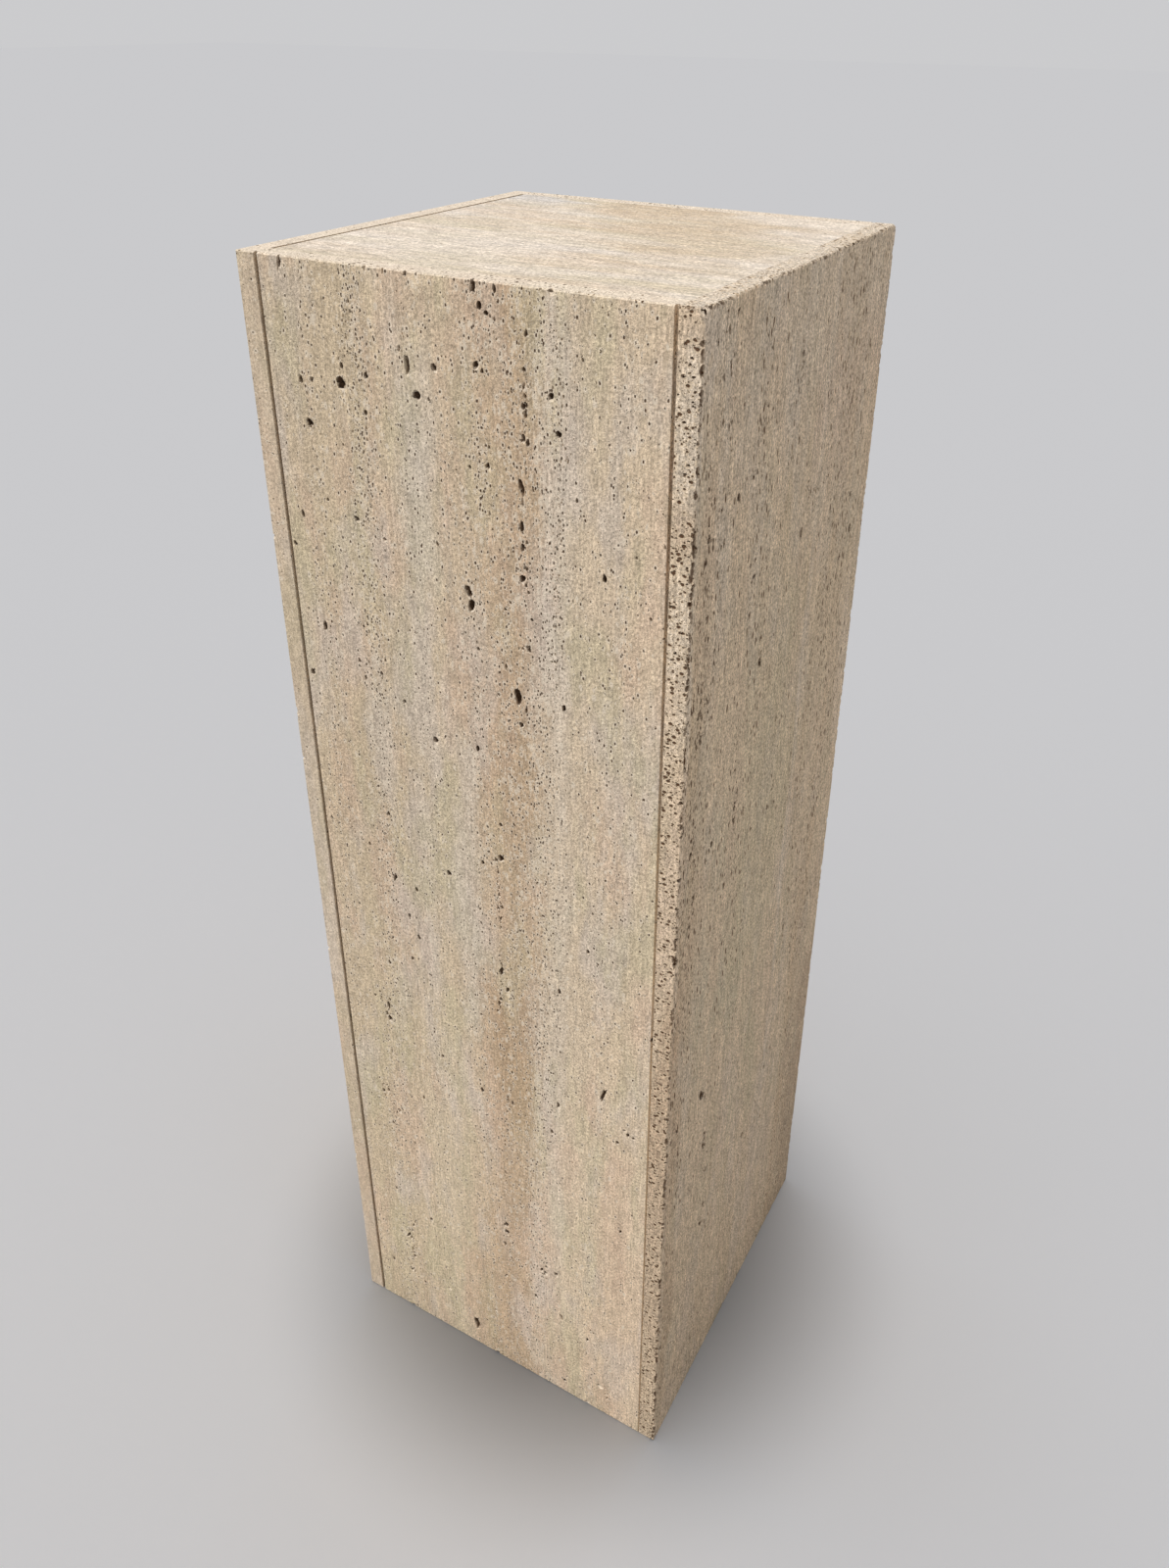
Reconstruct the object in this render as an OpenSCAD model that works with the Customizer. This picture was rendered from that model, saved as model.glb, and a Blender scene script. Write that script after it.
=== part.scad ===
// Travertine pedestal column: four wall slabs glued round an inset top slab,
// hollow inside and open at the foot. Units are millimetres, +Z is up.
// The origin is the centre of the footprint, on the ground. The front faces -Y.

/* [Column] */
// Width over the two side slabs, along X
width = 320; // [240:10:450]
// Depth from front face to back face, along Y
depth = 320; // [240:10:450]
// Height from the ground to the top face
height = 1000; // [500:10:1300]

/* [Slabs] */
// Thickness of the two side slabs
side_t = 15; // [12:0.5:30]
// Thickness of the front slab and the back slab
front_t = 15; // [12:0.5:30]
// Thickness of the inset top slab
top_t = 15; // [12:0.5:30]

/* [Quirk joints] */
// Width of the open quirk beside the side slabs
quirk_w = 2.4; // [1:0.2:5]
// Depth of every quirk below the face it is cut in
quirk_d = 3; // [1:0.5:6]
// Width at the ground of the front slab's right quirk, which narrows downwards
quirk_foot_w = 1; // [0.6:0.2:2.4]

/* [Arrises] */
// Easing of the outer arrises
arris = 0.8; // [0.2:0.1:2]
// Easing of the arrises along the joints
joint_arris = 0.4; // [0.2:0.1:0.8]

/* [Corner loss] */
// Broken front right top corner: length lost along X
loss_x = 5; // [2:0.5:9]
// Broken front right top corner: length lost along Y
loss_y = 8; // [2:0.5:12]
// Broken front right top corner: length lost along Z
loss_z = 9; // [2:0.5:15]

/* [Hidden] */

half_w = width / 2;
half_d = depth / 2;
// Half the clear width between the side slabs, and half the clear depth
// between the front slab and the back slab
inner_w = half_w - side_t;
inner_d = half_d - front_t;
// How far a cutting tool runs past the face that it cuts
past = 1;

// Tones of the honed stone, one for each slab
front_tone = [0.76, 0.68, 0.57];
back_tone = [0.75, 0.67, 0.57];
left_tone = [0.74, 0.66, 0.55];
right_tone = [0.73, 0.65, 0.55];
top_tone = [0.84, 0.78, 0.69];

// A rectangle from [x0, y0] to [x1, y1]. Each corner is cut off at 45 degrees
// by its own amount, counted from the low corner anticlockwise.
module cut_rectangle(x0, y0, x1, y1, cuts) {
    polygon([
        [x0 + cuts[0], y0], [x1 - cuts[1], y0],
        [x1, y0 + cuts[1]], [x1, y1 - cuts[2]],
        [x1 - cuts[2], y1], [x0 + cuts[3], y1],
        [x0, y1 - cuts[3]], [x0, y0 + cuts[0]]
    ]);
}

// The outline of a front or back slab in plan, for a face towards -Y: its
// outer arrises stand beside the quirks, and its joint faces stay square.
module face_plan(left_w, right_w) {
    difference() {
        translate([-inner_w, -half_d]) square([2 * inner_w, front_t]);
        quirk_plan(-inner_w, left_w, 1);
        quirk_plan(inner_w, right_w, -1);
    }
}

// A quirk in plan, w wide from the joint at x towards the middle of the slab
// (way is 1 or -1), with the slab's arris beside it eased.
module quirk_plan(x, w, way) {
    polygon([
        [x - way * past, -half_d - past],
        [x + way * (w + joint_arris + past), -half_d - past],
        [x + way * w, -half_d + joint_arris],
        [x + way * w, -half_d + quirk_d],
        [x - way * past, -half_d + quirk_d]
    ]);
}

// The height of a front or back slab in section across X, with its outer top
// and bottom arrises eased and its inner ones left square.
module face_section() {
    cut_rectangle(-half_d, 0, -inner_d, height, [arris, 0, 0, arris]);
}

// A slab that closes the box on the -Y side, from its plan at mid height.
module face_slab(left_w, right_w) {
    intersection() {
        linear_extrude(height = height) face_plan(left_w, right_w);
        rotate([90, 0, 90])
            linear_extrude(height = width, center = true) face_section();
    }
}

// What the right quirk of the front slab gains above its width at the ground.
module quirk_taper() {
    translate([0, -half_d + quirk_d, 0]) rotate([90, 0, 0])
        linear_extrude(height = quirk_d + past)
            polygon([
                [inner_w + past, -past], [inner_w - quirk_foot_w, -past],
                [inner_w - quirk_foot_w, 0], [inner_w - quirk_w, height],
                [inner_w - quirk_w, height + past],
                [inner_w + past, height + past]
            ]);
}

// A side slab on the +X side. It runs the full depth and height, so its edges
// show as narrow strips on the front, the back and the top.
module side_slab() {
    intersection() {
        linear_extrude(height = height)
            cut_rectangle(inner_w, -half_d, half_w, half_d,
                [joint_arris, arris, arris, joint_arris]);
        rotate([90, 0, 0])
            linear_extrude(height = depth, center = true)
                cut_rectangle(inner_w, 0, half_w, height, [0, arris, arris, 0]);
        rotate([90, 0, 90])
            linear_extrude(height = half_w)
                cut_rectangle(-half_d, 0, half_d, height,
                    [arris, arris, arris, arris]);
    }
}

// The block beyond the plane that breaks off the front right top corner.
module corner_loss() {
    toward = [1 / loss_x, -1 / loss_y, 1 / loss_z];
    reach = 3 * max(loss_x, loss_y, loss_z);
    translate([half_w - loss_x, -half_d, height])
        rotate([0, acos(toward.z / norm(toward)), atan2(toward.y, toward.x)])
            translate([-reach, -reach, 0])
                cube([2 * reach, 2 * reach, reach]);
}

module front_slab() {
    color(front_tone) difference() {
        face_slab(quirk_w, quirk_foot_w);
        quirk_taper();
    }
}

module back_slab() {
    color(back_tone) rotate([0, 0, 180]) face_slab(quirk_w, quirk_w);
}

module left_slab() {
    color(left_tone) mirror([1, 0, 0]) side_slab();
}

module right_slab() {
    color(right_tone) difference() {
        side_slab();
        corner_loss();
    }
}

// The top slab lies flush between the four walls. Only its left joint is open.
module top_slab() {
    color(top_tone) difference() {
        translate([-inner_w, -inner_d, height - top_t])
            cube([2 * inner_w, 2 * inner_d, top_t]);
        translate([0, 0, height]) rotate([90, 0, 0])
            linear_extrude(height = depth, center = true)
                polygon([
                    [-inner_w - past, past],
                    [-inner_w + quirk_w + joint_arris + past, past],
                    [-inner_w + quirk_w, -joint_arris],
                    [-inner_w + quirk_w, -quirk_d],
                    [-inner_w - past, -quirk_d]
                ]);
    }
}

front_slab();
back_slab();
left_slab();
right_slab();
top_slab();
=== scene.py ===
"""The finished look of a square travertine pedestal column.

Geometry Nodes carve each slab of the column from its own plain solid. They cut
the open pores, the rows of pores along single beds, the large hollows and the
chips along the arrises. Each slab then gets its own procedural travertine.

Names that end in _mm are millimetres. All other lengths are metres.
"""

import logging
import math
from dataclasses import dataclass
from enum import Enum
from functools import reduce
from typing import Any

import bmesh
import bpy
from mathutils import Matrix, Vector

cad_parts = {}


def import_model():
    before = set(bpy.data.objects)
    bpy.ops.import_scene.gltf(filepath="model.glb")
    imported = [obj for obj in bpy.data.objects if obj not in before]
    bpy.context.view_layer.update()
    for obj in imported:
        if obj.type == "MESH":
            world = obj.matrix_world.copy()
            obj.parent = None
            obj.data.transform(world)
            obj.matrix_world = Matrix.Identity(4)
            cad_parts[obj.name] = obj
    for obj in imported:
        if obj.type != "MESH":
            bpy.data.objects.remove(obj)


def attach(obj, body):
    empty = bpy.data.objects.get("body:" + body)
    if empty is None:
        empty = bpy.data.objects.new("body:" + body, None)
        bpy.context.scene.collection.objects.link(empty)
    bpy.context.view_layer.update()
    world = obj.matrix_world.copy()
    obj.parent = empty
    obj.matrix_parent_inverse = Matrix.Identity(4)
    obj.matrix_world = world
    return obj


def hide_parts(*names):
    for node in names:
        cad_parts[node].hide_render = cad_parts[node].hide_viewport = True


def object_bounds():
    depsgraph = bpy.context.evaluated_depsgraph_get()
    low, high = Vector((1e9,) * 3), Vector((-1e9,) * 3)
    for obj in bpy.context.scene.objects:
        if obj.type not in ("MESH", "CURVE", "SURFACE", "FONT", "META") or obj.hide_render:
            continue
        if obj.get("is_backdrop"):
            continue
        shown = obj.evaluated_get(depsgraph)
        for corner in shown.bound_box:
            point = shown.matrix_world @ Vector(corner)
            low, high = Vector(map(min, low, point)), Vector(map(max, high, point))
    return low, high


log = logging.getLogger("travertine_column")

MM = 0.001
BODY = "root"
Triple = tuple[float, float, float]
Tree, Node, Socket, Object = bpy.types.NodeTree, bpy.types.Node, bpy.types.NodeSocket, bpy.types.Object


def linear(tone: Triple) -> tuple[float, float, float, float]:
    """Turns a display colour into the linear colour that a shader takes.

    Args:
        tone: red, green and blue on a display, each from 0 to 1.

    Returns:
        The same colour in linear light, with an alpha of 1.
    """
    def channel(value: float) -> float:
        """Undoes the display curve of one channel."""
        return value / 12.92 if value <= 0.04045 else ((value + 0.055) / 1.055) ** 2.4

    return (*(channel(value) for value in tone), 1.0)


def rows(kind: type, *fields: tuple) -> tuple:
    """Makes one item of a kind from each row of its fields."""
    return tuple(kind(*row) for row in fields)


def linked(name: str, data: Any) -> Object:
    """Makes an object and puts it in the scene.

    Args:
        name: its name.
        data: its mesh, camera or light.

    Returns:
        The object.
    """
    made = bpy.data.objects.new(name, data)
    bpy.context.scene.collection.objects.link(made)
    return made


def meshed(name: str, shape: bmesh.types.BMesh) -> Object:
    """Makes an object of a shape, and frees the shape.

    Args:
        name: the name of the object and its mesh.
        shape: the shape.

    Returns:
        The object.
    """
    mesh = bpy.data.meshes.new(name)
    shape.to_mesh(mesh)
    shape.free()
    return linked(name, mesh)


def blank_material(name: str) -> bpy.types.Material:
    """Makes a material with no nodes in it.

    Args:
        name: its name.

    Returns:
        The material.
    """
    made = bpy.data.materials.new(name)
    made.use_nodes = True
    made.node_tree.nodes.clear()
    return made


class Graph:
    """A node tree under construction, with one short call for each kind of node.

    What is fed to an input is an output to link to it, or a plain value to set.
    """

    def __init__(self, tree: Tree) -> None:
        """Keeps the tree that the nodes go into."""
        self.tree = tree

    def node(self, kind: str, feeds: dict[Any, Any] | None = None, **settings: Any) -> Node:
        """Adds one node.

        Args:
            kind: the node's type in Blender.
            feeds: what goes into each input, by the input's name or number.
            settings: the node's own properties.

        Returns:
            The new node.
        """
        made = self.tree.nodes.new(kind)
        for name, value in settings.items():
            setattr(made, name, value)
        for key, value in (feeds or {}).items():
            self.feed(made.inputs[key] if isinstance(key, int) else self.entry(made, key), value)
        return made

    def entry(self, node: Node, name: str) -> Socket:
        """Finds an input in use by its name."""
        return next(s for s in node.inputs if s.enabled and s.name == name)

    def exit(self, node: Node, key: str | None = None) -> Socket:
        """Finds an output in use, by its name, or the first one."""
        return next(s for s in node.outputs if s.enabled and key in (None, s.name))

    def feed(self, socket: Socket, value: Any) -> None:
        """Feeds an input.

        Args:
            socket: the input.
            value: what goes into it.
        """
        if isinstance(value, Socket):
            self.tree.links.new(value, socket)
        else:
            socket.default_value = value

    def get(self, kind: str, feeds: dict[Any, Any] | None = None, key: str | None = None,
            **settings: Any) -> Socket:
        """Adds one node, and gives its output of that name or the first in use."""
        return self.exit(self.node(kind, feeds, **settings), key)

    def math(self, operation: str, *values: Any) -> Socket:
        """Adds a sum on plain numbers, under its name in Blender."""
        return self.get("ShaderNodeMath", dict(enumerate(values)), operation=operation)

    def times(self, *factors: Any) -> Socket:
        """Multiplies plain numbers."""
        return reduce(lambda first, second: self.math("MULTIPLY", first, second), factors)

    def vector(self, operation: str, *values: Any) -> Socket:
        """Adds a sum on vectors, under its name in Blender."""
        return self.get("ShaderNodeVectorMath", dict(enumerate(values)), operation=operation)

    def scaled(self, vector: Any, factor: Any) -> Socket:
        """Multiplies a vector by a number."""
        return self.get("ShaderNodeVectorMath", {"Vector": vector, "Scale": factor}, operation="SCALE")

    def combine(self, x: Any, y: Any, z: Any) -> Socket:
        """Joins three numbers into a vector."""
        return self.get("ShaderNodeCombineXYZ", {"X": x, "Y": y, "Z": z})

    def split(self, vector: Any) -> list[Socket]:
        """Parts a vector into its three numbers."""
        return list(self.node("ShaderNodeSeparateXYZ", {"Vector": vector}).outputs)

    def noise(self, vector: Any, scale: Any, detail: float = 2.0, roughness: float = 0.5,
              key: str = "Fac") -> Socket:
        """Adds a cloud noise of about 0.5, with scale clouds to a metre and detail finer layers."""
        return self.get("ShaderNodeTexNoise", {"Vector": vector, "Scale": scale, "Detail": detail,
                                               "Roughness": roughness}, key)

    def ramp(self, value: Any, low: Any, high: Any, to: tuple[Any, Any] = (0.0, 1.0)) -> Socket:
        """Eases a number from one range into another.

        Args:
            value: the number.
            low: where the result starts to change.
            high: where the result has changed.
            to: the results at low and at high.

        Returns:
            The eased number, which stays between the two results.
        """
        return self.get("ShaderNodeMapRange", {"Value": value, "From Min": low, "From Max": high,
                                               "To Min": to[0], "To Max": to[1]},
                        interpolation_type="SMOOTHSTEP")

    def blend(self, share: Any, first: Any, second: Any, way: str = "MIX") -> Socket:
        """Lays a share of the second colour over the first."""
        return self.get("ShaderNodeMix", {"Factor": share, "A": first, "B": second},
                        data_type="RGBA", blend_type=way)

    def compare(self, first: Any, operation: str, second: Any) -> Socket:
        """Tells whether one number lies above or below another."""
        return self.get("FunctionNodeCompare", {"A": first, "B": second}, operation=operation)

    def moved(self, geometry: Any, offset: Any) -> Socket:
        """Moves the points of a geometry."""
        return self.get("GeometryNodeSetPosition", {"Geometry": geometry, "Offset": offset})

    def gaps(self, place: Any, half: Any) -> tuple[Socket, Socket, Socket]:
        """Measures how far a place lies inside the column.

        Args:
            place: the place.
            half: half the column's size.

        Returns:
            The least gap to the four sides, the second least gap of all, and
            the gap to the top or foot.
        """
        middle = self.vector("MULTIPLY", half, (0.0, 0.0, 1.0))
        off = self.vector("ABSOLUTE", self.vector("SUBTRACT", place, middle))
        x, y, z = self.split(self.vector("SUBTRACT", half, off))
        low, high = self.math("MINIMUM", x, y), self.math("MAXIMUM", x, y)
        return low, self.math("MAXIMUM", low, self.math("MINIMUM", high, z)), z

    def read(self, name: str, kind: str = "FLOAT") -> Socket:
        """Reads an attribute of a geometry."""
        return self.get("GeometryNodeInputNamedAttribute", {"Name": name}, "Attribute", data_type=kind)


def interface(tree: Tree, takes: dict[str, str], gives: dict[str, str]) -> None:
    """Names what goes into a node group and what comes out.

    Args:
        tree: the group.
        takes: the kind of each input, by name.
        gives: the kind of each output, by name.
    """
    for way, sockets in (("INPUT", takes), ("OUTPUT", gives)):
        for name, kind in sockets.items():
            tree.interface.new_socket(name, in_out=way, socket_type=f"NodeSocket{kind}")


# --------------------------------------------------------------------------
# What a slab is carved with
# --------------------------------------------------------------------------


class Bed(Enum):
    """The direction in which the stone's beds and its long pores run."""

    UPRIGHT = (0.0, 0.0, 1.0)
    LEVEL = (1.0, 0.0, 0.0)


@dataclass(frozen=True)
class Hollow:
    """One large hollow on a slab's face, at a given place.

    across_mm is counted from the left edge of the column's face and down_mm
    from its top edge. lean_deg turns the hollow's long way clockwise.
    """

    across_mm: float
    down_mm: float
    wide_mm: float
    long_mm: float
    lean_deg: float = 0.0


@dataclass(frozen=True)
class Seam:
    """A row of pores that wanders along one bed.

    path_mm holds (across, down) points on the column's face. The pores stray
    by spread_mm to each side, fill share of the places along the path and are
    up to widest_mm wide.
    """

    path_mm: tuple[tuple[float, float], ...]
    spread_mm: float
    share: float
    widest_mm: float


@dataclass(frozen=True)
class PoreField:
    """The pores and chips that are scattered over one slab by chance.

    share is how many of the places on its broad face hold a pore, and
    edge_share the same on its narrow edges. longest is how many times longer
    than wide a pore on the broad face is at most.
    """

    seed: int
    share: float = 0.30
    widest_mm: float = 3.6
    longest: float = 2.0
    edge_share: float = 0.3
    edge_widest_mm: float = 2.0
    chips: float = 0.3
    chip_mm: float = 2.0


@dataclass(frozen=True)
class Stain:
    """A soft patch of another tone, with its middle and reach in the column's own frame."""

    tone: Triple
    share: float
    middle: Triple
    reach: Triple


class CarvingTree:
    """The Geometry Nodes tree that carves one slab from its plain solid."""

    TAKES = {
        "Geometry": "Geometry", "Material": "Material", "Seams": "Object", "Hollows": "Object",
        "Half Size": "Vector", "Face Normal": "Vector", "Bed Direction": "Vector",
        "Pore Share": "Float", "Widest Pore": "Float", "Longest Pore": "Float",
        "Edge Share": "Float", "Widest Edge Pore": "Float",
        "Chip Share": "Float", "Chip Width": "Float", "Seed": "Int",
    }
    # How many lumps there are of a kind, how finely they are divided and how rough they are
    PLAIN, FINE, FINEST = (24, 1, 0.5), (20, 2, 0.7), (16, 3, 1.0)
    PORES_PER_M2 = 30000.0
    EDGE_PORES_PER_M2 = 110000.0
    NARROWEST = 0.9 * MM
    NARROWEST_CHIP = 0.5 * MM
    # How seldom the wide ones come
    RARITY, EDGE_RARITY, SEAM_RARITY, CHIP_RARITY = 9.0, 3.0, 3.5, 3.0
    # The least and the greatest length and depth, in widths
    SHORTEST, DEPTH = 0.9, (1.8, 3.4)
    EDGE_LENGTH, EDGE_DEPTH = (0.8, 1.7), (1.5, 2.8)
    SEAM_LENGTH, SEAM_DEPTH = (1.0, 2.3), (1.4, 2.6)
    CHIP_LENGTH = (0.9, 2.0)
    # Pores narrower than this are cut with lumps of few faces
    PLAIN_BELOW = 2.0 * MM
    CHIP_STEP = 1.5 * MM
    CHIP_STRAY = 1.2 * MM
    SEAM_STEP = 0.8 * MM
    # How far below the face a pore's middle lies, as a share of its width
    SUNK = 0.12
    # How far a pore leans out of its bed
    LEAN = 0.22
    RIM_ANGLE = math.radians(32)

    def __init__(self) -> None:
        """Builds the tree."""
        self.tree = bpy.data.node_groups.new("carved_slab", "GeometryNodeTree")
        interface(self.tree, self.TAKES, {"Geometry": "Geometry"})
        self.graph = Graph(self.tree)
        self.takes = self.graph.node("NodeGroupInput").outputs
        self.normal, self.bed, self.half = (
            self.takes[name] for name in ("Face Normal", "Bed Direction", "Half Size"))
        self.place = self.graph.get("GeometryNodeInputPosition")
        self.draws = 0
        self.plain, self.fine, self.finest = (
            self._lumps(*kind) for kind in (self.PLAIN, self.FINE, self.FINEST))
        self._carve([self._scattered(), self._edge_pores(), self._seams(), self._hollows(), self._chips()])

    def identifiers(self) -> dict[str, str]:
        """Gives the identifier of each input socket by its name."""
        return {item.name: item.identifier for item in self.tree.interface.items_tree
                if item.in_out == "INPUT"}

    def _random(self, low: Any, high: Any, kind: str = "FLOAT") -> Socket:
        """Draws a random number or vector for each point.

        Args:
            low: the least value.
            high: the greatest value.
            kind: "FLOAT" or "FLOAT_VECTOR".

        Returns:
            The value, which differs for each draw in the tree and for each seed.
        """
        self.draws += 1
        seed = self.graph.math("MULTIPLY_ADD", self.takes["Seed"], 31.0, float(self.draws))
        return self.graph.get("FunctionNodeRandomValue", {"Min": low, "Max": high, "Seed": seed},
                              data_type=kind)

    def _stray(self, reach: float) -> Socket:
        """Draws a random vector for each point, up to reach each way."""
        return self._random((-reach,) * 3, (reach,) * 3, "FLOAT_VECTOR")

    def _few_large(self, low: float, high: Any, power: float) -> Socket:
        """Draws a size for each point, mostly small and seldom large.

        Args:
            low: the least size.
            high: the greatest size.
            power: how seldom the large ones are.

        Returns:
            The size.
        """
        share = self.graph.math("POWER", self._random(0.0, 1.0), power)
        return self.graph.math("MULTIPLY_ADD", share, self.graph.math("SUBTRACT", high, low), low)

    def _marked(self, geometry: Any, value: float) -> Socket:
        """Marks each face as part of a hollow, with 1, or of the plain slab, with 0."""
        return self.graph.get("GeometryNodeStoreNamedAttribute", {
            "Geometry": geometry, "Name": "hollow", "Value": value}, data_type="FLOAT", domain="FACE")

    def _lumps(self, count: int, rounds: int, rough: float) -> Socket:
        """Makes a set of unlike lumps of about unit radius.

        Args:
            count: how many.
            rounds: how finely each is divided.
            rough: how far noise pushes its surface in or out.

        Returns:
            The lumps, as instances.
        """
        g = self.graph
        line = g.get("GeometryNodeMeshLine", {"Count": count, "Offset": (0.0, 0.0, 0.0)})
        ball = g.get("GeometryNodeMeshIcoSphere", {"Radius": 1.0, "Subdivisions": rounds}, "Mesh")
        balls = g.get("GeometryNodeInstanceOnPoints", {"Points": line, "Instance": ball})
        numbered = g.get("GeometryNodeStoreNamedAttribute", {
            "Geometry": balls, "Name": "lump", "Value": g.get("GeometryNodeInputIndex")},
            data_type="INT", domain="INSTANCE")
        solid = g.get("GeometryNodeRealizeInstances", {"Geometry": numbered})
        lump = g.read("lump", "INT")
        apart = g.combine(g.times(lump, 17.0), float(rounds), 0.0)
        waves = g.noise(g.vector("ADD", self.place, apart), 1.1, 3.0)
        push = g.times(g.math("SUBTRACT", waves, 0.5), 2.0 * rough)
        marked = self._marked(g.moved(solid, g.scaled(self.place, push)), 1.0)
        return g.get("GeometryNodeSplitToInstances", {"Geometry": marked, "Group ID": lump},
                     "Instances", domain="POINT")

    def _put(self, points: Any, chosen: Any, lumps: Any, along: Any, normal: Any, size: Any) -> Socket:
        """Puts one lump on each chosen point.

        Args:
            points: where they may go.
            chosen: which of the points take one.
            lumps: the set that each is picked from.
            along: the direction of its length.
            normal: the direction of its depth.
            size: its width, depth and length.

        Returns:
            The lumps, as instances.
        """
        g = self.graph
        leaning = g.vector("ADD", along, self._stray(self.LEAN))
        turned = g.get("FunctionNodeAlignRotationToVector", {"Vector": leaning}, axis="Z")
        faced = g.get("FunctionNodeAlignRotationToVector", {"Rotation": turned, "Vector": normal},
                      axis="Y", pivot_axis="Z")
        return g.get("GeometryNodeInstanceOnPoints", {
            "Points": points, "Selection": chosen, "Instance": lumps, "Pick Instance": True,
            "Instance Index": g.math("FLOOR", self._random(0.0, 1000.0)), "Rotation": faced,
            "Scale": g.scaled(size, 0.5)})

    def _placed(self, points: Any, along: Any, normal: Any, width: Any, longer: tuple[float, Any],
                deeper: tuple[float, float] | None = None) -> list[Socket]:
        """Puts a lump on each point, one of few faces where it is small.

        Args:
            points: where they go.
            along: the direction of its length.
            normal: the direction of its depth.
            width: its width.
            longer: the least and the greatest length, in widths.
            deeper: the same for the depth, which is else one width.

        Returns:
            The small lumps and the large ones, as instances.
        """
        g = self.graph
        length = g.times(width, self._random(*longer))
        depth = g.times(width, self._random(*deeper)) if deeper else width
        size = g.combine(width, depth, length)
        small = g.compare(width, "LESS_THAN", self.PLAIN_BELOW)
        large = g.get("FunctionNodeBooleanMath", {0: small}, operation="NOT")
        return [self._put(points, small, self.plain, along, normal, size),
                self._put(points, large, self.fine, along, normal, size)]

    def _thinned(self, points: Any, share: Any) -> Socket:
        """Keeps some of the points by chance.

        Args:
            points: the points.
            share: how many are kept, from 0 to 1.

        Returns:
            The points that are kept.
        """
        lost = self.graph.compare(self._random(0.0, 1.0), "GREATER_THAN", share)
        return self.graph.get("GeometryNodeDeleteGeometry", {"Geometry": points, "Selection": lost},
                              domain="POINT")

    def _sunk(self, points: Any, normal: Any, width: Any) -> Socket:
        """Sinks each point below the face by a share of its pore's width."""
        return self.graph.moved(points, self.graph.scaled(normal, self.graph.times(width, -self.SUNK)))

    def _spread(self, broad: bool, density: float) -> tuple[Socket, Socket]:
        """Spreads points over the faces that show.

        Args:
            broad: whether they go on the slab's broad face or on its edges.
            density: how many go on a square metre.

        Returns:
            The points and the normals of the face at each.
        """
        g = self.graph
        facing = g.math("ABSOLUTE", g.vector("DOT_PRODUCT", g.get("GeometryNodeInputNormal"), self.normal))
        kind = g.compare(facing, "GREATER_THAN" if broad else "LESS_THAN", 0.5)
        low, _, z = g.gaps(self.place, self.half)
        shown = g.compare(g.math("MINIMUM", low, z), "LESS_THAN", 0.1 * MM)
        made = g.node("GeometryNodeDistributePointsOnFaces", {
            "Mesh": self.takes["Geometry"], "Density": density, "Seed": self.takes["Seed"],
            "Selection": g.get("FunctionNodeBooleanMath", {0: kind, 1: shown}, operation="AND")})
        return g.exit(made, "Points"), g.exit(made, "Normal")

    def _scattered(self) -> list[Socket]:
        """Scatters pores in clouds and bands over the broad face.

        Returns:
            The lumps that cut them.
        """
        g = self.graph
        points, normal = self._spread(True, self.PORES_PER_M2)
        squeeze = g.vector("SUBTRACT", (1.0, 1.0, 1.0), g.scaled(self.bed, 0.82))
        apart = g.combine(g.times(self.takes["Seed"], 3.7), 0.0, 0.0)
        place = g.vector("ADD", g.vector("MULTIPLY", self.place, squeeze), apart)
        bands = g.ramp(g.noise(place, 30.0, 3.0), 0.42, 0.64)
        clouds = g.ramp(g.noise(place, 110.0, 1.0), 0.38, 0.62)
        high = g.math("DIVIDE", g.split(self.place)[2], g.split(self.half)[2])
        crowd = g.times(g.ramp(high, 0.6, 1.7, (0.6, 1.5)),
                        g.math("MULTIPLY_ADD", g.times(bands, clouds), 0.9, 0.1))
        kept = self._thinned(points, g.times(crowd, self.takes["Pore Share"]))
        width = self._few_large(self.NARROWEST, self.takes["Widest Pore"], self.RARITY)
        return self._placed(self._sunk(kept, normal, width), self.bed, normal, width,
                            (self.SHORTEST, self.takes["Longest Pore"]), self.DEPTH)

    def _edge_pores(self) -> list[Socket]:
        """Scatters short pores, lying across the slab, over its narrow edges.

        Returns:
            The lumps that cut them.
        """
        g = self.graph
        points, normal = self._spread(False, self.EDGE_PORES_PER_M2)
        clouds = g.ramp(g.noise(self.place, 28.0, 3.0), 0.36, 0.60, (0.12, 1.0))
        _, y, z = g.split(g.vector("DIVIDE", self.place, self.half))
        front = g.ramp(y, -1.0, 1.0, (1.0, 0.3))
        upper = g.ramp(z, 0.9, 1.6, (0.4, 1.0))
        crowd = g.times(clouds, g.times(front, upper))
        kept = self._thinned(points, g.times(crowd, self.takes["Edge Share"]))
        width = self._few_large(self.NARROWEST, self.takes["Widest Edge Pore"], self.EDGE_RARITY)
        return self._placed(self._sunk(kept, normal, width), self.normal, normal, width,
                            self.EDGE_LENGTH, self.EDGE_DEPTH)

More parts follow.
